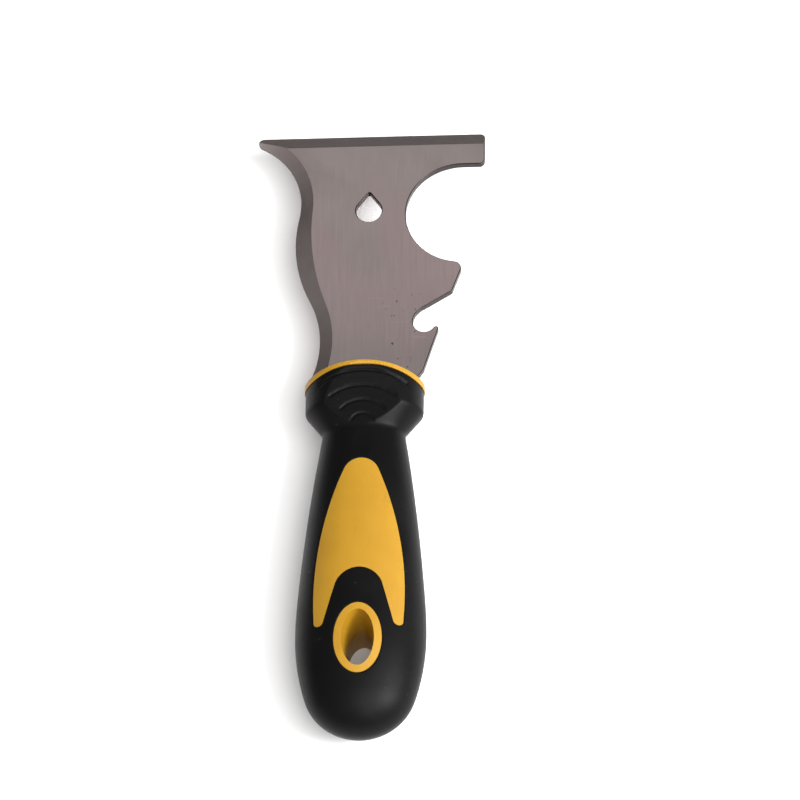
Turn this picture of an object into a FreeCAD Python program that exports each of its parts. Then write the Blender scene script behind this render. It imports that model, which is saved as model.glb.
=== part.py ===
"""Painters multi tool: a ground steel blade in a two-colour comfort handle.

Modelling frame, in millimetres: the handle's axis is the Y axis, the butt is at y = 0, the
scraping edge is at y = overall_length, and z = 0 is the middle of the blade's thickness.
Every sub-part is then placed so that the tool lies on its back with its lowest point at z = 0.
"""
import FreeCAD, Part
import math
import os
import Sketcher

doc = FreeCAD.newDocument("painters_multi_tool")
sheet = doc.addObject("Spreadsheet::Sheet", "Sizes")

DRIVING_SIZES = [
    ("overall_length", 187, "butt to scraping edge"),
    ("edge_reach_left", 31, "handle axis to the scraping hook's nose"),
    ("edge_reach_right", 32.5, "handle axis to the right end of the edge"),
    ("blade_thickness", 2, "steel plate"),
    ("edge_land", 0.45, "steel left under a bevel"),
    ("plate_chamfer", 0.25, "broken front edge of the notches and the nail hole"),
    ("edge_bevel_width", 4.0, "bevel behind the scraping edge"),
    ("nose_radius", 1.6, "rounding of the scraping hook's nose"),
    ("end_corner_radius", 1.5, "corners at the right end of the edge"),
    ("upper_waist_radius", 21, "scraping hook's hollow"),
    ("upper_waist_height", 165.3, "centre of the hollow"),
    ("bulge_radius", 41, "bulge of the left side"),
    ("bulge_height", 152.6, "centre of the bulge"),
    ("lower_waist_radius", 30, "hollow above the collar"),
    ("lower_waist_height", 121.2, "centre of the hollow above the collar"),
    ("upper_bevel_width", 3.5, "side bevel at the scraping hook"),
    ("lower_bevel_width", 3.55, "side bevel at the lower hollow"),
    ("bevel_bulge_radius", 68, "inner line of the side bevel between the hollows"),
    ("roller_radius", 15.6, "roller-cleaning notch"),
    ("roller_reach", 26.2, "notch centre from the handle axis"),
    ("roller_height", 160.95, "notch centre from the butt"),
    ("prong_radius", 2.2, "tip of the prong"),
    ("prong_reach", 23.95, "centre of the prong's tip"),
    ("prong_side_angle", 70.5, "prong's outer side, from the X direction"),
    ("prong_corner_radius", 0.6, "lower corner of the prong"),
    ("can_upper_radius", 5.2, "upper arc of the can notch"),
    ("can_lower_radius", 3.15, "lower arc of the can notch"),
    ("can_reach", 16.1, "centre of the can notch's lower arc"),
    ("can_height", 126.4, "centre of the can notch"),
    ("can_roof_angle", 32, "can notch's upper side, from the X direction"),
    ("barb_radius", 0.7, "tip of the barb under the can notch"),
    ("right_side_angle", 73, "right side below the barb, from the X direction"),
    ("cheek_reach", 16.15, "right corner above the collar"),
    ("cheek_height", 111.5, "right corner above the collar"),
    ("cheek_left_height", 107.3, "left corner above the collar"),
    ("cheek_bottom", 106.3, "where both cheeks meet the neck of the tang"),
    ("neck_half_width", 12.5, "widest steel inside the collar"),
    ("shoulder_height", 102, "where the neck steps in to the tang"),
    ("tang_half_width", 6.5, "tang inside the handle"),
    ("tang_end", 37.5, "bottom end of the tang"),
    ("nail_hole_radius", 3.6, "round end of the drop-shaped hole"),
    ("nail_hole_reach", 0.3, "hole centre from the handle axis"),
    ("nail_hole_height", 162.3, "hole centre from the butt"),
    ("nail_hole_rise", 6.1, "centre to the point of the drop"),
    ("nail_point_radius", 0.6, "rounding of the drop's point"),
    ("handle_flatness", 0.676, "handle thickness over its width"),
    ("butt_radius", 15.5, "plan radius of the butt"),
    ("belly_half_width", 17.7, "widest part of the handle"),
    ("belly_height", 30, "widest part from the butt"),
    ("belly_radius", 130, "plan radius above the belly"),
    ("taper_radius", 590, "plan radius of the long taper"),
    ("waist_half_width", 11.4, "narrowest part under the collar"),
    ("waist_height", 90.7, "narrowest part from the butt"),
    ("waist_radius", 2.5, "hollow corner at the waist"),
    ("flare_angle", 52, "flare under the collar, from the X direction"),
    ("collar_half_width", 16.25, "collar"),
    ("collar_corner_radius", 2, "rounding where the flare meets the collar"),
    ("collar_top", 109.2, "crown of the collar's end face"),
    ("collar_arch_radius", 48, "end face seen in plan"),
    ("rim_depth", 1.0, "hard rim at the crown"),
    ("rim_arch_radius", 38, "line between the rim and the rubber"),
    ("rim_growth", 1.015, "rim over collar"),
    ("rim_rest_depth", 10.9, "middle plane to the flat that the rim's back rests on"),
    ("core_ratio", 0.876, "hard core over outer form"),
    ("rubber_at_butt", 2.2, "rubber under the butt"),
    ("panel_half_width", 12.3, "front panel"),
    ("panel_side_radius", 103, "long sides of the panel"),
    ("panel_side_height", 38, "where the panel is widest"),
    ("panel_tip_radius", 5, "top of the panel"),
    ("panel_leg_radius", 1.3, "ends of the panel's legs"),
    ("panel_leg_reach", 10.74, "leg end from the axis"),
    ("panel_leg_height", 30.0, "leg end from the butt"),
    ("bib_radius", 6.7, "arch between the panel's legs"),
    ("bib_height", 38.9, "centre of the arch"),
    ("hang_hole_height", 24.5, "hang hole centre from the butt"),
    ("liner_half_width", 6.5, "hang-hole liner"),
    ("liner_half_length", 10.1, "hang-hole liner"),
    ("mouth_half_width", 4.5, "hang hole at the surface"),
    ("mouth_half_length", 8.2, "hang hole at the surface"),
    ("throat_half_width", 3.75, "hang hole at mid depth"),
    ("throat_half_length", 7.4, "hang hole at mid depth"),
    ("groove_width", 0.8, "thumb-rest grooves"),
    ("groove_ratio", 0.965, "form under the grooves over outer form"),
    ("rivet_radius", 2, "rivet shank and tang holes"),
    ("rivet_head_radius", 3.1, "rivet heads"),
    ("rivet_head_height", 1.2, "rivet heads"),
    ("rivet_grip", 11, "between the two heads"),
    ("upper_rivet_height", 95.5, "from the butt"),
    ("lower_rivet_height", 41, "from the butt"),
    ("pocket_depth", 3.4, "weight-saving pockets in each shell"),
    ("pocket_width", 3.2, "across the handle"),
    ("pocket_length", 8, "along the handle"),
    ("pocket_pitch", 11, "along the handle"),
    ("pocket_reach", 8, "handle axis to a pocket's near side"),
    ("pocket_start", 46, "butt to the first pocket"),
    ("arch_room", 9.5, "collar's crown to the foot of the blocks that trim its end"),
    ("thumb_hollow_radius", 52.5, "thumb rest hollowed across the collar, side view"),
    ("thumb_hollow_floor", 7.75, "lowest line of the hollow from the middle plane"),
]
RIVET_HEIGHTS = ("lower_rivet_height", "upper_rivet_height")
POCKETS_PER_SIDE = 2
# Peak height, radius and opening angle of each thumb-rest arc, from the waist to the rim.
THUMB_ARCS = [(94.5, 3.3, 150), (98.4, 8.2, 99), (102.5, 15, 77), (106.6, 24, 61)]
# Size of the blocks, drums and discs that only serve to cut.
CUT_REACH = 20
# How far the turned form runs on past the collar's crown before its end is arched.
COLLAR_RUN_ON = 4
# The hang hole's solid ends this many times as deep as the surface.
HOLE_RUN_ON = 1.12
# Distance at which an edge counts as lying in the front face.
TOUCHING = 1e-6
# Direction of the barb's tip from the can notch's centre, where its sketch starts.
BARB_BEARING = -33
DIRECTION_GIVEN = "Custom"
FACE_MAKER = "Part::FaceMakerBullseye"
PLAIN_TEXT = (DIRECTION_GIVEN, FACE_MAKER)
# X positions of the two hollows' centres, from the tangency of the arcs of the left side.
UPPER_X = ("(Sizes.nose_radius - Sizes.edge_reach_left"
           " - sqrt((Sizes.upper_waist_radius + Sizes.nose_radius)^2"
           " - (Sizes.overall_length - Sizes.nose_radius - Sizes.upper_waist_height)^2))")
LOWER_X = (f"({UPPER_X} + sqrt((Sizes.upper_waist_radius + Sizes.bulge_radius)^2"
           " - (Sizes.upper_waist_height - Sizes.bulge_height)^2)"
           " - sqrt((Sizes.bulge_radius + Sizes.lower_waist_radius)^2"
           " - (Sizes.bulge_height - Sizes.lower_waist_height)^2))")
SIZE = {alias: float(value) for alias, value, _ in DRIVING_SIZES}


def fill_sheet():
    """Write each driving size, with its alias and meaning, on a row of its own."""
    for row, (alias, value, meaning) in enumerate(DRIVING_SIZES, start=1):
        sheet.set(f"A{row}", meaning)
        sheet.set(f"B{row}", str(value))
        sheet.setAlias(f"B{row}", alias)
    doc.recompute()


def polar(centre, radius, degrees):
    """Point at an angle on a circle."""
    angle = math.radians(degrees)
    return (centre[0] + radius * math.cos(angle), centre[1] + radius * math.sin(angle))


def bearing(start, end):
    """Angle in degrees of the direction from one point to another."""
    return math.degrees(math.atan2(end[1] - start[1], end[0] - start[0]))


class Outline:
    """A chain of lines and arcs in a sketch, joined end to end and bound to the sheet."""

    def __init__(self, sketch):
        self.sketch = sketch
        self.entry = []
        self.exit = []

    def line(self, start, end):
        """Add a straight run and return its number."""
        edge = Part.LineSegment(FreeCAD.Vector(*start, 0), FreeCAD.Vector(*end, 0))
        return self._add(edge, 1, 2)

    def arc(self, centre, radius, start, end, clockwise=False):
        """Add an arc between two angles in degrees, walked clockwise when it is hollow."""
        circle = Part.Circle(FreeCAD.Vector(*centre, 0), FreeCAD.Vector(0, 0, 1), radius)
        edge = Part.ArcOfCircle(circle, math.radians(start), math.radians(end))
        return self._add(edge, 2, 1) if clockwise else self._add(edge, 1, 2)

    def _add(self, edge, entry, leave):
        number = self.sketch.addGeometry(edge, False)
        self.entry.append(entry)
        self.exit.append(leave)
        return number

    def join(self, first, second, smooth):
        """Join the end of one edge to the start of another."""
        kind = "Tangent" if smooth else "Coincident"
        pair = (first, self.exit[first], second, self.entry[second])
        self.sketch.addConstraint(Sketcher.Constraint(kind, *pair))

    def close(self, sharp=()):
        """Join every edge to the next, smoothly except after the edges listed as sharp."""
        count = len(self.entry)
        for number in range(count):
            self.join(number, (number + 1) % count, number not in sharp)

    def level(self, *edges):
        """Make edges parallel to X."""
        for edge in edges:
            self.sketch.addConstraint(Sketcher.Constraint("Horizontal", edge))

    def upright(self, *edges):
        """Make edges parallel to Y."""
        for edge in edges:
            self.sketch.addConstraint(Sketcher.Constraint("Vertical", edge))

    def radius(self, edge, alias):
        """Bind an arc's radius to a cell."""
        self._bind(Sketcher.Constraint("Radius", edge, SIZE[alias]), f"Sizes.{alias}")

    def angle(self, edge, alias):
        """Bind a line's angle from the X direction to a cell in degrees."""
        angle = math.radians(SIZE[alias])
        self._bind(Sketcher.Constraint("Angle", edge, angle), f"Sizes.{alias} * 1 deg")

    def across(self, edge, point, formula, value):
        """Bind the X position of a point of an edge: 1 start, 2 end, 3 centre."""
        self._bind(Sketcher.Constraint("DistanceX", -1, 1, edge, point, value), formula)

    def along(self, edge, point, formula, value):
        """Bind the Y position of a point of an edge: 1 start, 2 end, 3 centre."""
        self._bind(Sketcher.Constraint("DistanceY", -1, 1, edge, point, value), formula)

    def centre(self, edge, across, along):
        """Bind an arc's centre to two cells."""
        self.across(edge, 3, f"Sizes.{across}", SIZE[across])
        self.along(edge, 3, f"Sizes.{along}", SIZE[along])

    def worked_radius(self, edge, formula, value):
        """Bind an arc's radius to a formula of several cells."""
        self._bind(Sketcher.Constraint("Radius", edge, value), formula)

    def _bind(self, constraint, formula):
        number = self.sketch.addConstraint(constraint)
        self.sketch.setExpression(f"Constraints[{number}]", formula)


def origin_plane(body, role):
    """One of a body's own origin planes."""
    return next(item for item in body.Origin.OriginFeatures if item.Role == role)


def body_sketch(body, name, role):
    """A sketch on one of the body's origin planes."""
    sketch = body.newObject("Sketcher::SketchObject", name)
    sketch.AttachmentSupport = [(origin_plane(body, role), "")]
    sketch.MapMode = "FlatFace"
    return sketch


def add(kind, name, **values):
    """Add a document object and set or bind its properties."""
    item = doc.addObject(kind, name)
    for key, value in values.items():
        if isinstance(value, str) and value not in PLAIN_TEXT:
            item.setExpression(key, value)
        else:
            setattr(item, key, value)
    return item


def place(item, across="0", along="0", above="0", turn=None):
    """Bind an object's position, and its turn about Z in degrees."""
    item.setExpression(".Placement.Base.x", f"{across} * 1 mm")
    item.setExpression(".Placement.Base.y", f"{along} * 1 mm")
    item.setExpression(".Placement.Base.z", f"{above} * 1 mm")
    if turn:
        item.setExpression(".Placement.Rotation.Angle", f"{turn} * 1 deg")


# ---------------------------------------------------------------- blade

def tangent_centre(first, first_reach, second, second_reach):
    """Point at the given distances from two others, left of the way between them."""
    gap = math.dist(first, second)
    cosine = (first_reach ** 2 + gap ** 2 - second_reach ** 2) / (2 * first_reach * gap)
    return polar(first, first_reach, bearing(first, second) + math.degrees(math.acos(cosine)))


def side_centres():
    """Centres of the left side's arcs, each tangent to the next and the first to the nose."""
    size = SIZE
    nose = (size["nose_radius"] - size["edge_reach_left"], size["overall_length"] - size["nose_radius"])
    rise = nose[1] - size["upper_waist_height"]
    reach = size["upper_waist_radius"] + size["nose_radius"]
    upper = (nose[0] - math.sqrt(reach ** 2 - rise ** 2), size["upper_waist_height"])
    rise = size["upper_waist_height"] - size["bulge_height"]
    reach = size["upper_waist_radius"] + size["bulge_radius"]
    middle = (upper[0] + math.sqrt(reach ** 2 - rise ** 2), size["bulge_height"])
    rise = size["bulge_height"] - size["lower_waist_height"]
    reach = size["lower_waist_radius"] + size["bulge_radius"]
    lower = (middle[0] - math.sqrt(reach ** 2 - rise ** 2), size["lower_waist_height"])
    return upper, middle, lower


def left_side(outline, top_angle, bottom_height, bevel_line=False):
    """Three tangent arcs of the left side, from the nose down; or the bevel's inner line."""
    upper, middle, lower = side_centres()
    upper_radius = SIZE["upper_waist_radius"]
    lower_radius = SIZE["lower_waist_radius"]
    bulge_radius = SIZE["bulge_radius"]
    if bevel_line:
        upper_radius += SIZE["upper_bevel_width"]
        lower_radius += SIZE["lower_bevel_width"]
        bulge_radius = SIZE["bevel_bulge_radius"]
        middle = tangent_centre(upper, upper_radius + bulge_radius,
                                lower, lower_radius + bulge_radius)
    to_upper = bearing(middle, upper)
    to_lower = bearing(middle, lower) + 360
    foot = math.degrees(math.asin((bottom_height - lower[1]) / lower_radius))
    first = outline.arc(upper, upper_radius, to_upper - 180, top_angle, clockwise=True)
    second = outline.arc(middle, bulge_radius, to_upper, to_lower)
    third = outline.arc(lower, lower_radius, foot, to_lower - 180, clockwise=True)
    return first, second, third


def draw_blade_outline(sketch):
    """Counter-clockwise from the right end of the scraping edge."""
    size = SIZE
    top = size["overall_length"]
    right = size["edge_reach_right"]
    corner = size["end_corner_radius"]
    nose = size["nose_radius"]
    nose_centre = (nose - size["edge_reach_left"], top - nose)
    neck = size["neck_half_width"]
    shoulder = size["shoulder_height"]
    tang = size["tang_half_width"]
    foot = size["tang_end"]
    cheek = (size["cheek_reach"], size["cheek_height"])
    can_lower = (size["can_reach"], size["can_height"])
    can_upper = (can_lower[0] - size["can_lower_radius"] + size["can_upper_radius"], can_lower[1])
    roof_start = polar(can_upper, size["can_upper_radius"], 90 + size["can_roof_angle"])
    roller = (size["roller_reach"], size["roller_height"])
    underside = roller[1] + size["roller_radius"]
    to_nose = bearing(side_centres()[0], nose_centre)
    barb_radius = size["barb_radius"]
    barb_centre = polar(can_lower, size["can_lower_radius"] + barb_radius, BARB_BEARING)
    side_normal = size["right_side_angle"] - 90
    prong_normal = size["prong_side_angle"] - 90
    tip_gap = size["roller_radius"] + size["prong_radius"]
    tip_drop = math.sqrt(tip_gap ** 2 - (roller[0] - size["prong_reach"]) ** 2)
    tip_centre = (size["prong_reach"], roller[1] - tip_drop)
    to_tip = bearing(roller, tip_centre)
    heel = (tip_centre[0] - size["prong_radius"], roof_start[1] + size["can_upper_radius"])
    heel_radius = size["prong_corner_radius"]

    out = Outline(sketch)
    edge = out.line((right - corner, top), (nose_centre[0], top))
    hook_nose = out.arc(nose_centre, nose, 90, to_nose + 180)
    upper, bulge, lower = left_side(out, to_nose, size["cheek_left_height"])
    cheek_left = out.line((-cheek[0], size["cheek_left_height"]), (-neck, size["cheek_bottom"]))
    neck_left = out.line((-neck, size["cheek_bottom"]), (-neck, shoulder))
    step_left = out.line((-neck, shoulder), (-tang, shoulder))
    tang_left = out.line((-tang, shoulder), (-tang, foot))
    tang_foot = out.line((-tang, foot), (tang, foot))
    tang_right = out.line((tang, foot), (tang, shoulder))
    step_right = out.line((tang, shoulder), (neck, shoulder))
    neck_right = out.line((neck, shoulder), (neck, size["cheek_bottom"]))
    cheek_right = out.line((neck, size["cheek_bottom"]), cheek)
    side = out.line(cheek, polar(barb_centre, barb_radius, side_normal))
    barb = out.arc(barb_centre, barb_radius, side_normal, 180 + BARB_BEARING)
    can_floor = out.arc(can_lower, size["can_lower_radius"], 180, 360 + BARB_BEARING, clockwise=True)
    can_wall = out.arc(can_upper, size["can_upper_radius"], 90 + size["can_roof_angle"], 180,
                       clockwise=True)
    roof = out.line(roof_start, polar(heel, heel_radius, size["can_roof_angle"] - 90))
    prong_corner = out.arc(heel, heel_radius, size["can_roof_angle"] - 90, prong_normal)
    prong_side = out.line(polar(heel, heel_radius, prong_normal),
                          polar(tip_centre, size["prong_radius"], prong_normal))
    prong_tip = out.arc(tip_centre, size["prong_radius"], prong_normal, to_tip + 180)
    notch = out.arc(roller, size["roller_radius"], 90, to_tip + 360, clockwise=True)
    under = out.line((roller[0], underside), (right - corner, underside))
    low_corner = out.arc((right - corner, underside + corner), corner, -90, 0)
    end = out.line((right, underside + corner), (right, top - corner))
    top_corner = out.arc((right - corner, top - corner), corner, 0, 90)
    out.close(sharp=(lower, cheek_left, neck_left, step_left, tang_left, tang_foot, tang_right,
                     step_right, neck_right, cheek_right))

    out.level(edge, step_left, tang_foot, step_right, under)
    out.upright(neck_left, tang_left, tang_right, neck_right, end)
    out.along(edge, 1, "Sizes.overall_length", top)
    out.radius(hook_nose, "nose_radius")
    out.across(hook_nose, 3, "Sizes.nose_radius - Sizes.edge_reach_left", nose_centre[0])
    out.radius(upper, "upper_waist_radius")
    out.along(upper, 3, "Sizes.upper_waist_height", size["upper_waist_height"])
    out.radius(bulge, "bulge_radius")
    out.along(bulge, 3, "Sizes.bulge_height", size["bulge_height"])
    out.radius(lower, "lower_waist_radius")
    out.along(lower, 3, "Sizes.lower_waist_height", size["lower_waist_height"])
    out.along(cheek_left, 1, "Sizes.cheek_left_height", size["cheek_left_height"])
    out.across(neck_left, 1, "-Sizes.neck_half_width", -neck)
    out.along(neck_left, 1, "Sizes.cheek_bottom", size["cheek_bottom"])
    out.along(step_left, 1, "Sizes.shoulder_height", shoulder)
    out.across(tang_left, 1, "-Sizes.tang_half_width", -tang)
    out.along(tang_foot, 1, "Sizes.tang_end", foot)
    out.across(tang_right, 1, "Sizes.tang_half_width", tang)
    out.along(step_right, 1, "Sizes.shoulder_height", shoulder)
    out.across(neck_right, 1, "Sizes.neck_half_width", neck)
    out.along(neck_right, 2, "Sizes.cheek_bottom", size["cheek_bottom"])
    out.across(side, 1, "Sizes.cheek_reach", cheek[0])
    out.along(side, 1, "Sizes.cheek_height", cheek[1])
    out.angle(side, "right_side_angle")
    out.radius(barb, "barb_radius")
    out.radius(can_floor, "can_lower_radius")
    out.centre(can_floor, "can_reach", "can_height")
    out.radius(can_wall, "can_upper_radius")
    out.along(can_wall, 3, "Sizes.can_height", can_upper[1])
    out.angle(roof, "can_roof_angle")
    out.radius(prong_corner, "prong_corner_radius")
    out.angle(prong_side, "prong_side_angle")
    out.radius(prong_tip, "prong_radius")
    out.across(prong_tip, 3, "Sizes.prong_reach", size["prong_reach"])
    out.radius(notch, "roller_radius")
    out.centre(notch, "roller_reach", "roller_height")
    out.radius(low_corner, "end_corner_radius")
    out.across(end, 1, "Sizes.edge_reach_right", right)
    out.radius(top_corner, "end_corner_radius")


def draw_nail_hole(sketch):
    """A round end and two straight sides that meet in a slightly rounded point."""
    centre = (SIZE["nail_hole_reach"], SIZE["nail_hole_height"])
    lean = math.degrees(math.asin(SIZE["nail_hole_radius"] / SIZE["nail_hole_rise"]))
    set_back = SIZE["nail_point_radius"] * SIZE["nail_hole_rise"] / SIZE["nail_hole_radius"]
    point = (centre[0], centre[1] + SIZE["nail_hole_rise"] - set_back)
    point_radius = SIZE["nail_point_radius"]
    out = Outline(sketch)
    round_end = out.arc(centre, SIZE["nail_hole_radius"], 180 - lean, 360 + lean)
    out.line(polar(centre, SIZE["nail_hole_radius"], lean), polar(point, point_radius, lean))
    tip = out.arc(point, point_radius, lean, 180 - lean)
    out.line(polar(point, point_radius, 180 - lean),
             polar(centre, SIZE["nail_hole_radius"], 180 - lean))
    out.close()
    out.radius(round_end, "nail_hole_radius")
    out.centre(round_end, "nail_hole_reach", "nail_hole_height")
    out.radius(tip, "nail_point_radius")
    out.across(tip, 3, "Sizes.nail_hole_reach", point[0])
    back = "Sizes.nail_point_radius * Sizes.nail_hole_rise / Sizes.nail_hole_radius"
    out.along(tip, 3, f"Sizes.nail_hole_height + Sizes.nail_hole_rise - {back}", point[1])


def draw_tang_holes(sketch):
    """One hole per rivet."""
    out = Outline(sketch)
    for alias in RIVET_HEIGHTS:
        circle = Part.Circle(FreeCAD.Vector(0, SIZE[alias], 0), FreeCAD.Vector(0, 0, 1),
                             SIZE["rivet_radius"])
        number = sketch.addGeometry(circle, False)
        sketch.addConstraint(Sketcher.Constraint("PointOnObject", number, 3, -2))
        out.radius(number, "rivet_radius")
        out.along(number, 3, f"Sizes.{alias}", SIZE[alias])


def draw_edge_bevel(sketch):
    """Side view of the steel ground away behind the scraping edge, in the YZ plane."""
    top = SIZE["overall_length"]
    face = SIZE["blade_thickness"] / 2
    land = SIZE["edge_land"] - face
    back = top - SIZE["edge_bevel_width"]
    out = Outline(sketch)
    slope = out.line((back, face), (top, land))
    front = out.line((top, land), (top, face))
    surface = out.line((top, face), (back, face))
    out.close(sharp=(slope, front, surface))
    out.upright(front)
    out.level(surface)
    out.across(slope, 1, "Sizes.overall_length - Sizes.edge_bevel_width", back)
    out.along(slope, 1, "Sizes.blade_thickness / 2", face)
    out.across(slope, 2, "Sizes.overall_length", top)
    out.along(slope, 2, "Sizes.edge_land - Sizes.blade_thickness / 2", land)


def cut_through(body, name, sketch):
    """Pocket a sketch right through the body, both ways from its plane."""
    doc.recompute()
    before = body.Shape.Volume
    pocket = body.newObject("PartDesign::Pocket", name)
    pocket.Profile = sketch
    pocket.Type = "ThroughAll"
    pocket.Midplane = True
    doc.recompute()
    if body.Shape.Volume >= before:
        raise RuntimeError(f"{name} cuts nothing")
    return pocket


def draw_bevel_section(name, bevel_line, above):
    """One closed section of the side bevel's cutter: the left side, closed out to the left."""
    sketch = doc.addObject("Sketcher::SketchObject", name)
    place(sketch, above=above)
    upper_centre, _, lower_centre = side_centres()
    upper_radius = SIZE["upper_waist_radius"]
    lower_radius = SIZE["lower_waist_radius"]
    upper_formula = "Sizes.upper_waist_radius"
    lower_formula = "Sizes.lower_waist_radius"
    if bevel_line:
        upper_radius += SIZE["upper_bevel_width"]
        lower_radius += SIZE["lower_bevel_width"]
        upper_formula += " + Sizes.upper_bevel_width"
        lower_formula += " + Sizes.lower_bevel_width"
    far = -SIZE["edge_reach_left"] - CUT_REACH
    low = SIZE["shoulder_height"]
    high = upper_centre[1] + upper_radius
    out = Outline(sketch)
    upper, middle, lower = left_side(out, 90, low, bevel_line)
    foot = out.line((far / 2, low), (far, low))
    outside = out.line((far, low), (far, high))
    head = out.line((far, high), (upper_centre[0], high))
    out.close(sharp=(lower, foot, outside))
    out.level(foot, head)
    out.upright(outside)
    out.worked_radius(upper, upper_formula, upper_radius)
    out.across(upper, 3, UPPER_X, upper_centre[0])
    out.along(upper, 3, "Sizes.upper_waist_height", upper_centre[1])
    out.worked_radius(lower, lower_formula, lower_radius)
    out.across(lower, 3, LOWER_X, lower_centre[0])
    out.along(lower, 3, "Sizes.lower_waist_height", lower_centre[1])
    out.radius(middle, "bevel_bulge_radius" if bevel_line else "bulge_radius")
    out.along(foot, 1, "Sizes.shoulder_height", low)
    out.across(outside, 1, f"-Sizes.edge_reach_left - {CUT_REACH}", far)
    return sketch


def break_front_edges(body):
    """Small chamfer on the front edges of the notches, the right side and the nail hole."""
    face = SIZE["blade_thickness"] / 2
    bevel_foot = SIZE["overall_length"] - SIZE["edge_bevel_width"] - SIZE["plate_chamfer"]
    plate = body.Tip
    chosen = []
    for number, edge in enumerate(body.Shape.Edges, start=1):
        middle = edge.CenterOfMass
        on_face = abs(edge.BoundBox.ZMin - face) < TOUCHING
        on_right = middle.x > SIZE["neck_half_width"] / 2 and middle.y > SIZE["cheek_bottom"]
        hole = abs(middle.x) < SIZE["tang_half_width"] and middle.y > SIZE["bulge_height"]
        below_bevel = edge.BoundBox.YMax < bevel_foot
        if on_face and below_bevel and (on_right or hole):
            chosen.append(f"Edge{number}")
    chamfer = body.newObject("PartDesign::Chamfer", "broken_edges")
    chamfer.Base = (plate, chosen)
    chamfer.setExpression("Size", "Sizes.plate_chamfer")
    doc.recompute()


def build_blade():
    """Plate, holes and edge bevel as a body, then the side bevel ground off its front."""
    body = doc.addObject("PartDesign::Body", "blade_plate")
    outline = body_sketch(body, "blade_outline", "XY_Plane")
    draw_blade_outline(outline)
    plate = body.newObject("PartDesign::Pad", "plate")
    plate.Profile = outline
    plate.Midplane = True
    plate.setExpression("Length", "Sizes.blade_thickness")
    nail_hole = body_sketch(body, "nail_hole_outline", "XY_Plane")
    draw_nail_hole(nail_hole)
    cut_through(body, "nail_hole", nail_hole)
    tang_holes = body_sketch(body, "tang_hole_outline", "XY_Plane")
    draw_tang_holes(tang_holes)
    cut_through(body, "tang_holes", tang_holes)
    edge_bevel = body_sketch(body, "edge_bevel_outline", "YZ_Plane")
    draw_edge_bevel(edge_bevel)
    cut_through(body, "edge_bevel", edge_bevel)
    break_front_edges(body)
    at_face = draw_bevel_section("bevel_at_face", True, "Sizes.blade_thickness / 2")
    at_land = draw_bevel_section("bevel_at_land", False,
                                 "(Sizes.edge_land - Sizes.blade_thickness / 2)")
    wedge = add("Part::Loft", "side_bevel", Sections=[at_land, at_face], Solid=True, Ruled=True)
    return add("Part::Cut", "blade", Base=body, Tool=wedge)


# ---------------------------------------------------------------- handle forms

def draw_handle_profile(sketch):
    """Half plan of the handle, from the butt up its right side to the collar and the axis."""
    size = SIZE
    butt_centre = (0, size["butt_radius"])
    belly = (size["belly_half_width"], size["belly_height"])
    rise = belly[1] - butt_centre[1]
    shoulder_radius = ((rise ** 2 + belly[0] ** 2 - size["butt_radius"] ** 2)
                       / (2 * (belly[0] - size["butt_radius"])))
    shoulder_centre = (belly[0] - shoulder_radius, belly[1])
    swell_centre = (belly[0] - size["belly_radius"], belly[1])
    waist = (size["waist_half_width"] + size["waist_radius"], size["waist_height"])
    taper_centre = tangent_centre(swell_centre, size["taper_radius"] - size["belly_radius"],
                                  waist, size["taper_radius"] + size["waist_radius"])
    butt_end = bearing(shoulder_centre, butt_centre)
    swell_end = bearing(taper_centre, swell_centre)
    taper_end = bearing(taper_centre, waist)
    flare = size["flare_angle"]
    flare_start = polar(waist, size["waist_radius"], flare + 90)
    collar = size["collar_half_width"]
    corner = size["collar_corner_radius"]
    run = collar - corner + corner * math.sin(math.radians(flare)) - flare_start[0]
    corner_height = (flare_start[1] + run * math.tan(math.radians(flare))
                     + corner * math.cos(math.radians(flare)))
    top = size["collar_top"] + COLLAR_RUN_ON
    out = Outline(sketch)
    butt = out.arc(butt_centre, size["butt_radius"], -90, butt_end)
    shoulder = out.arc(shoulder_centre, shoulder_radius, butt_end, 0)
    swell = out.arc(swell_centre, size["belly_radius"], 0, swell_end)
    taper = out.arc(taper_centre, size["taper_radius"], swell_end, taper_end)
    hollow = out.arc(waist, size["waist_radius"], flare + 90, taper_end + 180, clockwise=True)
    slope = out.line(flare_start, polar((collar - corner, corner_height), corner, flare - 90))
    rounding = out.arc((collar - corner, corner_height), corner, flare - 90, 0)
    side = out.line((collar, corner_height), (collar, top))
    end = out.line((collar, top), (0, top))
    axis = out.line((0, top), (0, 0))
    out.close(sharp=(side, end, axis))
    out.upright(side, axis)
    out.level(end)
    sketch.addConstraint(Sketcher.Constraint("Coincident", butt, 1, -1, 1))
    out.radius(butt, "butt_radius")
    out.across(butt, 3, "0", 0)
    out.along(shoulder, 3, "Sizes.belly_height", belly[1])
    out.across(shoulder, 2, "Sizes.belly_half_width", belly[0])
    out.along(shoulder, 2, "Sizes.belly_height", belly[1])
    out.radius(swell, "belly_radius")
    out.radius(taper, "taper_radius")
    out.radius(hollow, "waist_radius")
    out.across(hollow, 3, "Sizes.waist_half_width + Sizes.waist_radius", waist[0])
    out.along(hollow, 3, "Sizes.waist_height", waist[1])
    out.angle(slope, "flare_angle")
    out.radius(rounding, "collar_corner_radius")
    out.across(side, 1, "Sizes.collar_half_width", collar)
    out.along(end, 1, f"Sizes.collar_top + {COLLAR_RUN_ON}", top)


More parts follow.
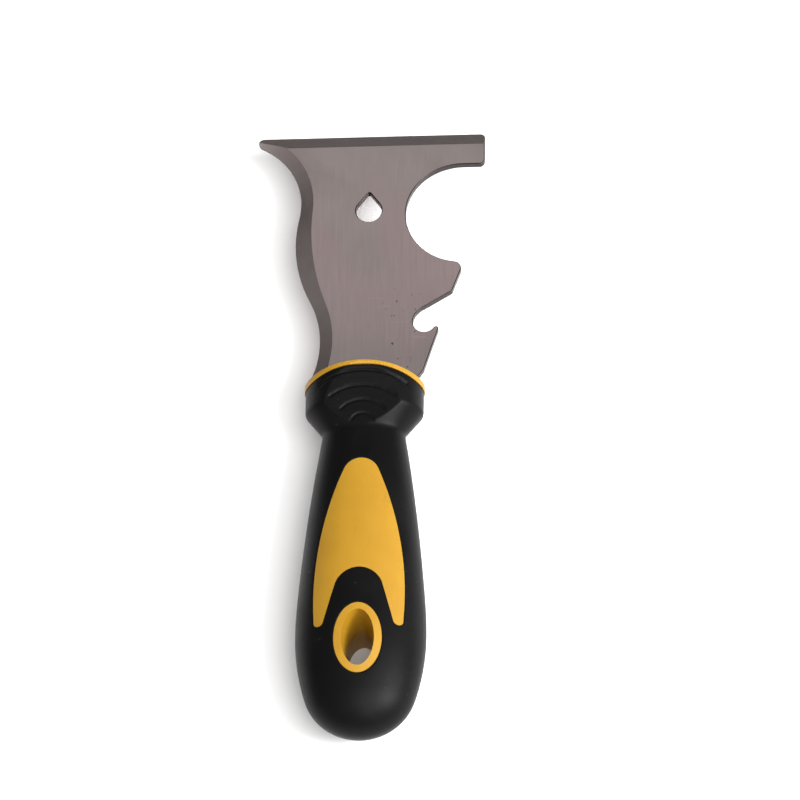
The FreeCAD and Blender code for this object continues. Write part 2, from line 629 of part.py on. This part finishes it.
def build_thumb_hollows():
    """Drums that hollow the collar's front and back between the waist and the rim."""
    hollows = []
    for name, sign in (("front_hollow", ""), ("back_hollow", "-")):
        drum = add("Part::Cylinder", name, Radius="Sizes.thumb_hollow_radius",
                   Height=2.0 * CUT_REACH)
        drum.Placement.Rotation = FreeCAD.Rotation(FreeCAD.Vector(0, 1, 0), 90)
        place(drum, -CUT_REACH, "Sizes.waist_height",
              f"({sign}1 * (Sizes.thumb_hollow_floor + Sizes.thumb_hollow_radius))")
        hollows.append(drum)
    return hollows


def above_arch(name, radius, crown):
    """Everything above an arched end face whose crown and plan radius are given."""
    block = add("Part::Box", f"{name}_block", Length=2.0 * CUT_REACH, Width=1.0 * CUT_REACH,
                Height=2.0 * CUT_REACH)
    place(block, -CUT_REACH, "(Sizes.collar_top - Sizes.arch_room)", -CUT_REACH)
    disc = add("Part::Cylinder", f"{name}_disc", Radius=radius, Height=2.0 * CUT_REACH)
    place(disc, "0", f"({crown} - {radius})", -CUT_REACH)
    return add("Part::Cut", name, Base=block, Tool=disc)


def scaled_form(name, base, width_ratio, depth_ratio, length_ratio="1", along="0"):
    """A form scaled across, through and along the handle."""
    form = add("Part::Scale", name, Base=base, Uniform=False, XScale=width_ratio,
               YScale=length_ratio, ZScale=depth_ratio)
    place(form, "0", along, "0")
    return form


def draw_panel(sketch):
    """Panel outline: two long sides, a round tip, two legs and the arch between them."""
    size = SIZE
    side_radius = size["panel_side_radius"]
    side_x = side_radius - size["panel_half_width"]
    side_y = size["panel_side_height"]
    tip_radius = size["panel_tip_radius"]
    tip_y = side_y + math.sqrt((side_radius - tip_radius) ** 2 - side_x ** 2)
    tip_angle = bearing((-side_x, side_y), (0, tip_y))
    leg = (size["panel_leg_reach"], size["panel_leg_height"])
    other_leg = (-leg[0], leg[1])
    leg_radius = size["panel_leg_radius"]
    foot_gap = math.dist((-side_x, side_y), leg)
    foot_angle = bearing((-side_x, side_y), leg) + math.degrees(
        math.acos((side_radius - leg_radius) / foot_gap))
    arch = (0, size["bib_height"])
    arch_gap = math.dist(arch, leg)
    arch_angle = bearing(arch, leg) + math.degrees(
        math.acos((size["bib_radius"] + leg_radius) / arch_gap))
    out = Outline(sketch)
    leg_right = out.arc(leg, leg_radius, 180 + arch_angle, 360 + foot_angle)
    out.line(polar(leg, leg_radius, foot_angle), polar((-side_x, side_y), side_radius, foot_angle))
    side_right = out.arc((-side_x, side_y), side_radius, foot_angle, tip_angle)
    tip = out.arc((0, tip_y), tip_radius, tip_angle, 180 - tip_angle)
    side_left = out.arc((side_x, side_y), side_radius, 180 - tip_angle, 180 - foot_angle)
    out.line(polar((side_x, side_y), side_radius, 180 - foot_angle),
             polar(other_leg, leg_radius, 180 - foot_angle))
    leg_left = out.arc(other_leg, leg_radius, 180 - foot_angle, 360 - arch_angle)
    out.line(polar(other_leg, leg_radius, -arch_angle),
             polar(arch, size["bib_radius"], 180 - arch_angle))
    bib = out.arc(arch, size["bib_radius"], arch_angle, 180 - arch_angle, clockwise=True)
    out.line(polar(arch, size["bib_radius"], arch_angle), polar(leg, leg_radius, 180 + arch_angle))
    out.close()
    for edge, sign in ((side_right, "Sizes.panel_half_width - Sizes.panel_side_radius"),
                       (side_left, "Sizes.panel_side_radius - Sizes.panel_half_width")):
        out.radius(edge, "panel_side_radius")
        out.across(edge, 3, sign, -side_x if edge == side_right else side_x)
        out.along(edge, 3, "Sizes.panel_side_height", side_y)
    out.radius(tip, "panel_tip_radius")
    for edge, sign in ((leg_right, ""), (leg_left, "-")):
        out.radius(edge, "panel_leg_radius")
        out.across(edge, 3, f"{sign}Sizes.panel_leg_reach", -leg[0] if sign else leg[0])
        out.along(edge, 3, "Sizes.panel_leg_height", leg[1])
    out.radius(bib, "bib_radius")
    out.across(bib, 3, "0", 0)
    out.along(bib, 3, "Sizes.bib_height", arch[1])


def through_prism(name, outline):
    """A flat outline pushed both ways through the handle."""
    return add("Part::Extrusion", name, Base=outline, Dir=FreeCAD.Vector(0, 0, 1),
               DirMode=DIRECTION_GIVEN, FaceMakerClass=FACE_MAKER, LengthFwd=2.0 * CUT_REACH,
               Solid=True, Symmetric=True)


def upright_ellipse(name, half_width, half_length, above="0"):
    """An ellipse about the hang hole's centre, long axis along the handle."""
    ellipse = add("Part::Ellipse", name, MajorRadius=half_length, MinorRadius=half_width)
    ellipse.Placement.Rotation = FreeCAD.Rotation(FreeCAD.Vector(0, 0, 1), 90)
    place(ellipse, "0", "Sizes.hang_hole_height", above)
    return ellipse


def build_hang_hole():
    """The hole: widest at both mouths, tapering to a throat at mid depth."""
    mouth_height = "Sizes.belly_half_width * Sizes.handle_flatness"
    wide = ("(Sizes.throat_half_width"
            f" + (Sizes.mouth_half_width - Sizes.throat_half_width) * {HOLE_RUN_ON})")
    tall = ("(Sizes.throat_half_length"
            f" + (Sizes.mouth_half_length - Sizes.throat_half_length) * {HOLE_RUN_ON})")
    back = upright_ellipse("hole_back", wide, tall, f"(-{mouth_height} * {HOLE_RUN_ON})")
    throat = upright_ellipse("hole_throat", "Sizes.throat_half_width", "Sizes.throat_half_length")
    front = upright_ellipse("hole_front", wide, tall, f"({mouth_height} * {HOLE_RUN_ON})")
    return add("Part::Loft", "hang_hole", Sections=[back, throat, front], Solid=True, Ruled=True)


def build_thumb_grooves(floor_form):
    """Ring sectors over the collar, down to the form just under its surface."""
    sectors = []
    for number, (peak, radius, opening) in enumerate(THUMB_ARCS, start=1):
        outer = add("Part::Cylinder", f"groove_{number}_outer", Height=2.0 * CUT_REACH,
                    Radius=f"{radius} + Sizes.groove_width / 2", Angle=float(opening))
        inner = add("Part::Cylinder", f"groove_{number}_inner", Height=2.0 * CUT_REACH,
                    Radius=f"{radius} - Sizes.groove_width / 2")
        for disc in (outer, inner):
            place(disc, "0", f"({peak} - {radius})", -CUT_REACH, turn=90 - opening / 2)
        sectors.append(add("Part::Cut", f"groove_{number}", Base=outer, Tool=inner))
    rings = add("Part::MultiFuse", "groove_rings", Shapes=sectors)
    return add("Part::Cut", "thumb_grooves", Base=rings, Tool=floor_form)


def build_rivets():
    """Two rivets, each a shank with a head at both ends."""
    rivets = []
    for number, alias in enumerate(RIVET_HEIGHTS, start=1):
        shank = add("Part::Cylinder", f"rivet_{number}_shank", Radius="Sizes.rivet_radius",
                    Height="Sizes.rivet_grip")
        place(shank, "0", f"Sizes.{alias}", "(-Sizes.rivet_grip / 2)")
        parts = [shank]
        for side, above in (("front", "(Sizes.rivet_grip / 2)"),
                            ("back", "(-Sizes.rivet_grip / 2 - Sizes.rivet_head_height)")):
            head = add("Part::Cylinder", f"rivet_{number}_{side}_head",
                       Radius="Sizes.rivet_head_radius", Height="Sizes.rivet_head_height")
            place(head, "0", f"Sizes.{alias}", above)
            parts.append(head)
        rivets.append(add("Part::MultiFuse", f"rivet_{number}", Shapes=parts))
    return rivets


def build_rivet_wells():
    """A well over each rivet head, out through both faces of the core, and the shank's bore."""
    cutters = []
    for number, alias in enumerate(RIVET_HEIGHTS, start=1):
        bore = add("Part::Cylinder", f"bore_{number}", Radius="Sizes.rivet_radius",
                   Height="Sizes.rivet_grip")
        place(bore, "0", f"Sizes.{alias}", "(-Sizes.rivet_grip / 2)")
        cutters.append(bore)
        for side, above in (("front", "(Sizes.rivet_grip / 2)"),
                            ("back", f"(-Sizes.rivet_grip / 2 - {CUT_REACH})")):
            well = add("Part::Cylinder", f"well_{number}_{side}",
                       Radius="Sizes.rivet_head_radius", Height=1.0 * CUT_REACH)
            place(well, "0", f"Sizes.{alias}", above)
            cutters.append(well)
    return cutters


def build_core_pockets():
    """Rows of closed pockets each side of the tang, split by the middle plane."""
    pockets = []
    for side in (-1, 1):
        near = "Sizes.pocket_reach" if side > 0 else "(-Sizes.pocket_reach - Sizes.pocket_width)"
        for step in range(POCKETS_PER_SIDE):
            name = f"pocket_{'right' if side > 0 else 'left'}_{step + 1}"
            pocket = add("Part::Box", name, Length="Sizes.pocket_width",
                         Width="Sizes.pocket_length", Height="2 * Sizes.pocket_depth")
            place(pocket, near, f"(Sizes.pocket_start + {step} * Sizes.pocket_pitch)",
                  "(-Sizes.pocket_depth)")
            pockets.append(pocket)
    return pockets


def build_tang_slot():
    """Room for the steel inside the core: the tang and the neck above it."""
    slots = []
    for name, half, low, high in (
            ("tang_slot", "Sizes.tang_half_width", "Sizes.tang_end", "Sizes.shoulder_height"),
            ("neck_slot", "Sizes.neck_half_width", "Sizes.shoulder_height",
             f"(Sizes.collar_top + {CUT_REACH})")):
        slot = add("Part::Box", name, Length=f"2 * {half}", Width=f"{high} - {low}",
                   Height="Sizes.blade_thickness")
        place(slot, f"(-{half})", low, "(-Sizes.blade_thickness / 2)")
        slots.append(slot)
    return slots


def half_space(name, above):
    """A block that holds everything on one side of the middle plane."""
    block = add("Part::Box", name, Length=4.0 * CUT_REACH, Width=8.0 * CUT_REACH,
                Height=1.0 * CUT_REACH)
    place(block, -2 * CUT_REACH, -CUT_REACH, above)
    return block


def build_handle():
    """Core shells and soft grip from one outer form, its windows and its hang hole."""
    profile = doc.addObject("Sketcher::SketchObject", "handle_profile")
    draw_handle_profile(profile)
    turned = add("Part::Revolution", "turned_form", Source=profile, Axis=FreeCAD.Vector(0, 1, 0),
                 Angle=360.0, Solid=True)
    flattened = scaled_form("flattened_form", turned, "1", "Sizes.handle_flatness")
    hollows = add("Part::MultiFuse", "thumb_hollows", Shapes=build_thumb_hollows())
    outer = add("Part::Cut", "outer_round", Base=flattened, Tool=hollows)
    end_cut = above_arch("beyond_end", "Sizes.collar_arch_radius", "Sizes.collar_top")
    outer_form = add("Part::Cut", "outer_form", Base=outer, Tool=end_cut)

    length_ratio = "(1 - Sizes.rubber_at_butt / Sizes.collar_top)"
    core_round = scaled_form("core_round", outer, "Sizes.core_ratio", "Sizes.core_ratio",
                             length_ratio, "Sizes.rubber_at_butt")
    core_body = add("Part::Cut", "core_body", Base=core_round, Tool=end_cut)

    rim_round = scaled_form("rim_round", outer, "Sizes.rim_growth", "Sizes.rim_growth")
    rim_zone = above_arch("rim_zone", "Sizes.rim_arch_radius",
                          "(Sizes.collar_top - Sizes.rim_depth)")
    rim_part = add("Part::Common", "rim_part", Base=rim_round, Tool=rim_zone)
    rim_round_back = add("Part::Cut", "rim_round_back", Base=rim_part, Tool=end_cut)
    rest_flat = half_space("rest_flat", f"(-Sizes.rim_rest_depth - {CUT_REACH})")
    rim = add("Part::Cut", "rim", Base=rim_round_back, Tool=rest_flat)

    panel_sketch = doc.addObject("Sketcher::SketchObject", "panel_outline")
    draw_panel(panel_sketch)
    liner = upright_ellipse("liner_outline", "Sizes.liner_half_width", "Sizes.liner_half_length")
    windows = add("Part::MultiFuse", "windows", Shapes=[through_prism("panel_prism", panel_sketch),
                                                        through_prism("liner_prism", liner)])
    raised = add("Part::Common", "raised_areas", Base=outer_form, Tool=windows)
    core_whole = add("Part::MultiFuse", "core_whole", Shapes=[core_body, raised, rim])
    wells = add("Part::MultiFuse", "rivet_wells", Shapes=build_rivet_wells())
    core_bored = add("Part::Cut", "core_bored", Base=core_whole, Tool=wells)

    hang_hole = build_hang_hole()
    inner_cuts = [hang_hole] + build_core_pockets() + build_tang_slot()
    room = add("Part::MultiFuse", "core_room", Shapes=inner_cuts)
    core = add("Part::Cut", "core", Base=core_bored, Tool=room)
    front = add("Part::Common", "core_front_shell", Base=core, Tool=half_space("front_half", "0"))
    back = add("Part::Common", "core_back_shell", Base=core,
               Tool=half_space("back_half", -CUT_REACH))

    groove_floor = scaled_form("groove_floor", outer, "Sizes.groove_ratio", "Sizes.groove_ratio")
    grooves = build_thumb_grooves(groove_floor)
    rivets = build_rivets()
    rubber_cuts = add("Part::MultiFuse", "rubber_cuts",
                      Shapes=[core_bored, rim_zone, hang_hole, grooves] + rivets)
    grip = add("Part::Cut", "soft_grip", Base=outer_form, Tool=rubber_cuts)
    return [front, back, add("Part::Compound", "tang_rivets", Links=rivets), grip]


def place_in_frame(part):
    """Centre the tool's box on x and y, and lay its lowest point on z = 0."""
    place(part, "(Sizes.edge_reach_left - Sizes.edge_reach_right) / 2",
          "(-Sizes.overall_length / 2)", "Sizes.belly_half_width * Sizes.handle_flatness")


def check(parts):
    """Stop if any object failed or any sub-part isn't a sound shape."""
    failed = [item.Name for item in doc.Objects if {"Invalid", "Error"} & set(item.State)]
    if failed:
        raise RuntimeError(f"failed objects: {failed}")
    loose = [item.Name for item in doc.Objects
             if item.TypeId == "Sketcher::SketchObject" and not item.FullyConstrained]
    if loose:
        raise RuntimeError(f"sketches with freedom left: {loose}")
    for part in parts:
        if part.Shape.isNull() or not part.Shape.isValid():
            raise RuntimeError(f"{part.Label} has no sound shape")
        print(part.Label, len(part.Shape.Solids), "solids", round(part.Shape.Volume), "mm3")


fill_sheet()
sub_parts = [build_blade()] + build_handle()
for sub_part in sub_parts:
    place_in_frame(sub_part)
doc.recompute()
check(sub_parts)
os.makedirs("parts", exist_ok=True)
for sub_part in sub_parts:
    sub_part.Shape.exportStep(f"parts/{sub_part.Label}.step")
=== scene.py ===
"""Painters multi tool: looks, floor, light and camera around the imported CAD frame.

Everything is in metres in the frame of the part: X across the blade, Y from the butt of the
handle to the scraping edge, Z up from the surface that the tool lies on.
"""
import math

import bmesh
import bpy
from mathutils import Matrix, Vector


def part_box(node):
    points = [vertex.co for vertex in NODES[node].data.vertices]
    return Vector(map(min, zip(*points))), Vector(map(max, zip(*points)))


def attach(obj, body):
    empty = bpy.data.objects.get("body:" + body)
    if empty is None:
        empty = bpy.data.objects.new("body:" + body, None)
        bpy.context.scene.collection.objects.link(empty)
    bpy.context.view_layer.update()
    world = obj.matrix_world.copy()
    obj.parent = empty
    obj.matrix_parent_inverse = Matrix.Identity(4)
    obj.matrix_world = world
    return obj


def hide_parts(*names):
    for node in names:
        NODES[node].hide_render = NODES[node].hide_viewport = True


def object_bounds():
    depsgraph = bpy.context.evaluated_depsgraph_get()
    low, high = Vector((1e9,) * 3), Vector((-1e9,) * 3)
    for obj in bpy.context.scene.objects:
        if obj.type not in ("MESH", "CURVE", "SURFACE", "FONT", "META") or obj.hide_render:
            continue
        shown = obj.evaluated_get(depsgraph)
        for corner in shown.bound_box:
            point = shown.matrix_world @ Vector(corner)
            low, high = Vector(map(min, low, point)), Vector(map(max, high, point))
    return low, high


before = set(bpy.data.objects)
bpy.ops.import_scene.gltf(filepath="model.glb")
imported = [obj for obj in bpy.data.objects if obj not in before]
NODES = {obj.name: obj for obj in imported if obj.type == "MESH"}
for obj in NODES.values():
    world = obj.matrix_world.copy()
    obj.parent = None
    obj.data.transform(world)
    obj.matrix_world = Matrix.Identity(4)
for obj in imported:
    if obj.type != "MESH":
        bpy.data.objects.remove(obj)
CAD_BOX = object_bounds()


# ------------------------------------------------------------------ node materials

class Look:
    """A node material under construction: short calls that add nodes and link them."""

    def __init__(self, name):
        self.material = bpy.data.materials.new(name)
        self.material.use_nodes = True
        self.tree = self.material.node_tree
        self.shader = self.tree.nodes["Principled BSDF"]
        coords = self.node("ShaderNodeTexCoord")
        self.spot = coords.outputs["Object"]
        self.facing = coords.outputs["Normal"]

    def node(self, kind, **settings):
        made = self.tree.nodes.new(kind)
        for name, value in settings.items():
            setattr(made, name, value)
        return made

    def feed(self, socket, value):
        if isinstance(value, bpy.types.NodeSocket):
            self.tree.links.new(value, socket)
        else:
            socket.default_value = value

    def set(self, **values):
        """Sets or links the surface shader's own sockets; underscores stand for spaces."""
        for name, value in values.items():
            self.feed(self.shader.inputs[name.replace("_", " ")], value)

    def stretched(self, x, y, z, turn=0.0):
        made = self.node("ShaderNodeMapping")
        self.feed(made.inputs["Vector"], self.spot)
        made.inputs["Scale"].default_value = (x, y, z)
        made.inputs["Rotation"].default_value = (0, 0, math.radians(turn))
        return made.outputs["Vector"]

    def noise(self, scale, detail=3.0, rough=0.5, at=None, distortion=0.0):
        made = self.node("ShaderNodeTexNoise")
        self.feed(made.inputs["Vector"], at or self.spot)
        made.inputs["Scale"].default_value = scale
        made.inputs["Detail"].default_value = detail
        made.inputs["Roughness"].default_value = rough
        made.inputs["Distortion"].default_value = distortion
        return made.outputs["Fac"]

    def math(self, what, a, b=0.0):
        made = self.node("ShaderNodeMath", operation=what)
        self.feed(made.inputs[0], a)
        self.feed(made.inputs[1], b)
        return made.outputs[0]

    def span(self, value, low, high, to_low=0.0, to_high=1.0):
        """value mapped from low..high to to_low..to_high, held at both ends."""
        made = self.node("ShaderNodeMapRange", interpolation_type="SMOOTHSTEP")
        self.feed(made.inputs["Value"], value)
        ends = {"From Min": low, "From Max": high, "To Min": to_low, "To Max": to_high}
        for name, number in ends.items():
            made.inputs[name].default_value = number
        return made.outputs["Result"]

    def blend(self, share, a, b):
        """Colour a turned into colour b by that share."""
        made = self.node("ShaderNodeMix", data_type="RGBA")
        self.feed(made.inputs[0], share)
        self.feed(made.inputs[6], a)
        self.feed(made.inputs[7], b)
        return made.outputs[2]

    def both(self, a, b):
        """Where two masks overlap."""
        return self.math("MULTIPLY", a, b)

    def bump(self, height, strength, distance, under=None):
        made = self.node("ShaderNodeBump")
        self.feed(made.inputs["Height"], height)
        made.inputs["Strength"].default_value = strength
        made.inputs["Distance"].default_value = distance
        if under is not None:
            self.feed(made.inputs["Normal"], under)
        return made.outputs["Normal"]

    def part(self, vector, axis):
        made = self.node("ShaderNodeSeparateXYZ")
        self.feed(made.inputs[0], vector)
        return made.outputs[axis]

    def dress(self, obj):
        obj.data.materials.clear()
        obj.data.materials.append(self.material)


def rgb(red, green, blue):
    return (red, green, blue, 1.0)


def shade(colour, level):
    """The same hue at another level."""
    return rgb(*[channel * level for channel in colour])


def steel_look(name, face, edge_shade):
    """Ground plate: lengthwise grain, painted shade on the bevels and on the sheared edges, smudges
    and specks.
    """
    look = Look(name)
    along = look.part(look.spot, "Y")
    across = look.part(look.spot, "X")

    # Where the surface faces: flat face, ground bevel, or the sheared edge of the plate; these
    # masks place the painted shade on bevels and edge.
    upright = look.math("ABSOLUTE", look.part(look.facing, "Z"))
    on_face = look.span(upright, 0.975, 0.998)
    on_cut = look.span(upright, 0.88, 0.76)
    on_side_bevel = look.span(look.part(look.facing, "X"), -0.1, -0.3)

    grain = look.noise(1.0, 2.0, 0.6, at=look.stretched(3800, 90, 3800))
    broad = look.noise(34, 3.0, 0.55, distortion=0.6)
    tint = look.noise(21, 2.0, 0.5)
    wear = look.noise(260, 3.0, 0.6)

    # The face: broad smudges, a warm and a cool stain, and grain.
    warm = rgb(face[0] * 1.03, face[1] * 0.95, face[2] * 0.98)
    cool = rgb(face[0] * 0.93, face[1] * 0.98, face[2] * 0.97)
    colour = look.blend(look.span(broad, 0.35, 0.68), rgb(*face), shade(face, 0.86))
    colour = look.blend(look.span(tint, 0.50, 0.62, 0.0, 0.9), colour, warm)
    colour = look.blend(look.span(tint, 0.46, 0.34, 0.0, 0.8), colour, cool)
    colour = look.blend(look.span(grain, 0.3, 0.75, 0.0, 0.10), colour, shade(face, 0.6))

    # Darker toward the collar, with dried specks low on the right.
    toward_handle = look.span(along, 0.050, 0.016, 0.0, 0.5)
    colour = look.blend(toward_handle, colour, shade(face, 0.66))
    low_right = look.both(look.span(along, 0.050, 0.030), look.span(across, -0.002, 0.008))
    specks = look.both(look.span(look.noise(900, 1.0, 0.4), 0.72, 0.75), low_right)
    colour = look.blend(specks, colour, shade(face, 0.2))

    # Painted shade on the bevels, darkest on the left-facing side bevel, with patches of wear on
    # them; scratches across face and bevels; painted shade on the sheared edge.
    bevel = look.blend(on_side_bevel, shade(face, 0.78), shade(face, 0.64))
    bevel = look.blend(look.span(wear, 0.4, 0.7, 0.0, 0.3), bevel, shade(face, 0.75))
    colour = look.blend(on_face, bevel, colour)
    scratch = look.noise(1.0, 1.0, 0.4, at=look.stretched(90, 2600, 90, turn=24))
    scratches = look.both(look.span(scratch, 0.72, 0.75, 0.0, 0.35), look.span(broad, 0.5, 0.6))
    colour = look.blend(scratches, colour, shade(face, 1.35))
    # Painted shade: the sheared edge and its chamfer get a dark colour because of the way they
    # face.
    colour = look.blend(on_cut, colour, rgb(*edge_shade))

    lines = look.bump(grain, 0.25, 0.00004)
    dents = look.bump(look.noise(220, 2.0), 0.08, 0.0002, under=lines)
    rough = look.span(grain, 0.25, 0.8, 0.30, 0.42)
    look.set(Base_Color=colour, Metallic=1.0, Roughness=rough, Normal=dents)
    return look


def plastic_look(name, base, deep):
    """Moulded core: satin, faintly mottled and scuffed, with a fine spark-eroded texture."""
    look = Look(name)
    mottle = look.noise(60, 4.0, 0.6)
    fine = look.noise(2600, 2.0, 0.5)
    scuff = look.noise(1.0, 3.0, 0.6, at=look.stretched(900, 60, 900, turn=12))
    colour = look.blend(look.span(mottle, 0.3, 0.7), rgb(*base), rgb(*deep))
    grime = look.both(look.span(scuff, 0.62, 0.72, 0.0, 0.35), look.span(mottle, 0.4, 0.6))
    colour = look.blend(grime, colour, shade(base, 0.55))
    rough = look.span(fine, 0.3, 0.7, 0.40, 0.54)
    look.set(Base_Color=colour, Roughness=rough, IOR=1.46)
    look.set(Subsurface_Weight=0.2, Subsurface_Radius=(0.003, 0.0014, 0.0003))
    look.set(Subsurface_Scale=1.0, Normal=look.bump(fine, 0.18, 0.00005))
    return look


def rubber_look(name, base, dusty):
    """Moulded rubber: near black, with a fine texture, a trace of dust and a few flecks."""
    look = Look(name)
    fine = look.noise(3200, 2.0, 0.55)
    cloud = look.noise(45, 3.0, 0.6)
    dust = look.noise(1500, 2.0, 0.5)
    colour = look.blend(look.span(cloud, 0.45, 0.75, 0.0, 0.6), rgb(*base), rgb(*dusty))
    flecks = look.both(look.span(dust, 0.70, 0.76), look.span(cloud, 0.45, 0.65))
    colour = look.blend(flecks, colour, rgb(0.03, 0.029, 0.028))
    rough = look.span(cloud, 0.3, 0.7, 0.37, 0.45)
    look.set(Base_Color=colour, Roughness=rough, IOR=1.4, Specular_IOR_Level=0.12)
    look.set(Normal=look.bump(fine, 0.2, 0.00006))
    return look


steel = steel_look("ground_steel", (0.42, 0.360, 0.351), (0.03, 0.025, 0.024))
plastic = plastic_look("yellow_core_plastic", (0.345, 0.183, 0.008), (0.31, 0.160, 0.006))
rubber = rubber_look("black_grip_rubber", (0.0022, 0.0022, 0.0024), (0.004, 0.004, 0.004))
rivet = steel_look("rivet_steel", (0.55, 0.54, 0.53), (0.4, 0.39, 0.38))

steel.dress(NODES["blade"])
plastic.dress(NODES["core_front_shell"])
plastic.dress(NODES["core_back_shell"])
rivet.dress(NODES["tang_rivets"])

# ------------------------------------------------------------------ rubber grip

# The moulded rubber has no sharp edge, so its form is resampled and every lip and groove rounded.
WELD = 1e-6              # corners this close become one
SAMPLE = 0.00022
ROUNDING = 0.5
ROUNDING_PASSES = 6
GRIP_FACES = 90000       # triangles kept


def settled(obj):
    """Swaps the object's mesh for the one that its modifiers make."""
    scene_now = bpy.context.evaluated_depsgraph_get()
    shaped = bpy.data.meshes.new_from_object(obj.evaluated_get(scene_now))
    obj.modifiers.clear()
    obj.data = shaped


def rounded_copy(node, name):
    """A copy of a CAD node's form with rounded lips, as one closed skin."""
    skin = node.data.copy()
    welded = bmesh.new()
    welded.from_mesh(skin)
    bmesh.ops.remove_doubles(welded, verts=welded.verts, dist=WELD)
    welded.to_mesh(skin)
    welded.free()
    skin.name = name
    piece = bpy.data.objects.new(name, skin)
    piece.matrix_world = node.matrix_world.copy()
    bpy.context.scene.collection.objects.link(piece)
    sampled = piece.modifiers.new("sampled", "REMESH")
    sampled.mode = "VOXEL"
    sampled.voxel_size = SAMPLE
    rounded = piece.modifiers.new("rounded", "SMOOTH")
    rounded.factor = ROUNDING
    rounded.iterations = ROUNDING_PASSES
    settled(piece)
    thinned = piece.modifiers.new("thinned", "DECIMATE")
    thinned.ratio = min(1.0, GRIP_FACES / (2 * len(piece.data.polygons)))
    settled(piece)
    piece.data.shade_smooth()
    return piece


grip = rounded_copy(NODES["soft_grip"], "rubber_grip")
rubber.dress(grip)
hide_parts("soft_grip")
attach(grip, "root")

# ------------------------------------------------------------------ floor

low, high = CAD_BOX
FLOOR_HALF = 3.0
corners = [(FLOOR_HALF * x, FLOOR_HALF * y, low.z) for x, y in ((-1, -1), (1, -1), (1, 1), (-1, 1))]
floor_mesh = bpy.data.meshes.new("floor")
floor_mesh.from_pydata(corners, [], [(0, 1, 2, 3)])
floor = bpy.data.objects.new("floor", floor_mesh)
bpy.context.scene.collection.objects.link(floor)
paper = Look("pale_floor")
paper.set(Base_Color=paper.blend(paper.noise(9), rgb(0.93, 0.93, 0.93), rgb(0.90, 0.90, 0.90)))
paper.set(Roughness=0.9, Specular_IOR_Level=0.1)
paper.dress(floor)

# ------------------------------------------------------------------ light

centre = (low + high) / 2


def soft_box(name, direction, distance, size, power):
    """A square lamp of that size, at that distance from the tool in that direction, facing it."""
    lamp = bpy.data.lights.new(name, "AREA")
    lamp.shape = "SQUARE"
    lamp.size = size
    lamp.energy = power
    holder = bpy.data.objects.new(name, lamp)
    toward = Vector(direction).normalized()
    holder.location = centre + toward * distance
    holder.rotation_mode = "QUATERNION"
    holder.rotation_quaternion = (-toward).to_track_quat("-Z", "Y")
    bpy.context.scene.collection.objects.link(holder)


soft_box("key_light", direction=(0.73, -0.24, 0.64), distance=1.3, size=0.6, power=25)
soft_box("overhead_light", direction=(0.35, -0.45, 0.85), distance=1.6, size=1.4, power=26)

# The studio's walls are bright on the side that this direction points to and dim opposite.
BRIGHT_SIDE = (0.3, -0.6, 1.0)
WALL_RANGE = {"From Min": -0.3, "From Max": 1.15, "To Min": 0.10, "To Max": 0.95}
WALL_COLOUR = rgb(1.0, 0.985, 0.975)

world = bpy.data.worlds.new("studio")
bpy.context.scene.world = world
world.use_nodes = True
sky = world.node_tree
backdrop = sky.nodes["Background"]
direction = sky.nodes.new("ShaderNodeTexCoord").outputs["Generated"]
lean_in = sky.nodes.new("ShaderNodeVectorMath")
lean_in.operation = "DOT_PRODUCT"
sky.links.new(direction, lean_in.inputs[0])
lean_in.inputs[1].default_value = BRIGHT_SIDE
rise = sky.nodes.new("ShaderNodeMapRange")
sky.links.new(lean_in.outputs["Value"], rise.inputs["Value"])
for name, number in WALL_RANGE.items():
    rise.inputs[name].default_value = number
sky.links.new(rise.outputs["Result"], backdrop.inputs["Strength"])
backdrop.inputs["Color"].default_value = WALL_COLOUR

bpy.context.scene.view_settings.view_transform = "Standard"

# ------------------------------------------------------------------ camera

SENSOR = 36.0            # mm
LENS = 292.5             # mm, long enough that the tool is seen almost without perspective
TILT = math.radians(29)  # off the face normal, toward the butt
SWING = math.radians(8)  # to the right of the tool's axis
LEAN = math.radians(0.8)  # the tool's axis against the picture's upright
DISTANCE = 1.821
NEAREST, FARTHEST = 0.05, 50
EDGE_LEFT = 0.0086007    # middle of the scraping edge from the centre of the view
EDGE_ABOVE = 0.0739606

grip_low, grip_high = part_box("soft_grip")
blade_low, blade_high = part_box("blade")
edge = Vector(((grip_low.x + grip_high.x) / 2,
               blade_high.y,
               (blade_low.z + blade_high.z) / 2))
back = Vector((math.sin(TILT) * math.sin(SWING),
               -math.sin(TILT) * math.cos(SWING),
               math.cos(TILT)))
along = (Vector((0, 1, 0)) - back * back.y).normalized()
across = along.cross(back).normalized()
up = along * math.cos(LEAN) - across * math.sin(LEAN)
right = up.cross(back)
camera = bpy.data.objects.new("camera", bpy.data.cameras.new("camera"))
camera.data.sensor_width = SENSOR
camera.data.lens = LENS
camera.data.clip_start = NEAREST
camera.data.clip_end = FARTHEST
bpy.context.scene.collection.objects.link(camera)
camera.rotation_mode = "QUATERNION"
camera.rotation_quaternion = Matrix((right, up, back)).transposed().to_quaternion()
camera.location = edge + back * DISTANCE + right * EDGE_LEFT - up * EDGE_ABOVE
bpy.context.scene.camera = camera

bpy.context.view_layer.update()
